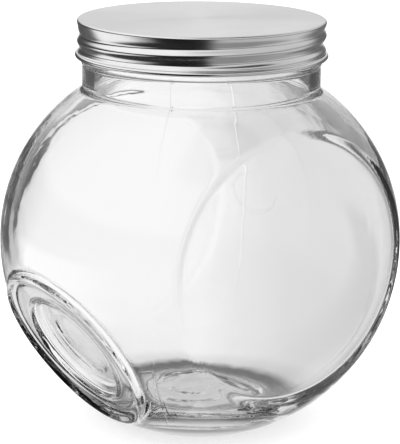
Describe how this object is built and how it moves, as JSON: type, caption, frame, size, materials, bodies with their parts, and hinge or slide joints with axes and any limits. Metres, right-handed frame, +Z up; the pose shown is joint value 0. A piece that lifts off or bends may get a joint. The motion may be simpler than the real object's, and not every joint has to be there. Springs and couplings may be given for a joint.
{
  "type": "glass storage jar",
  "caption": "Globe-shaped clear glass storage jar with two flat side faces, a tilted foot, a wide neck and a rolled metal screw lid.",
  "frame": {"origin": "middle of the base, on the surface that the jar stands on", "axes": "+Z up through the mouth, +Y and -Y out of the two flat side faces, -X over the tilted foot"},
  "size_m": [0.1848, 0.136, 0.1869],
  "materials": {
    "clear_glass": "clear blown glass, uneven and thicker towards the base, with faint mould seams",
    "lid_metal": "bright tinplate, satin on top and polished on the rolled skirt",
    "liner": "soft off-white sealing disc"
  },
  "bodies": {
    "root": {"jar": "clear_glass", "lid": "lid_metal", "lid_liner": "liner"}
  },
  "joints": []
}
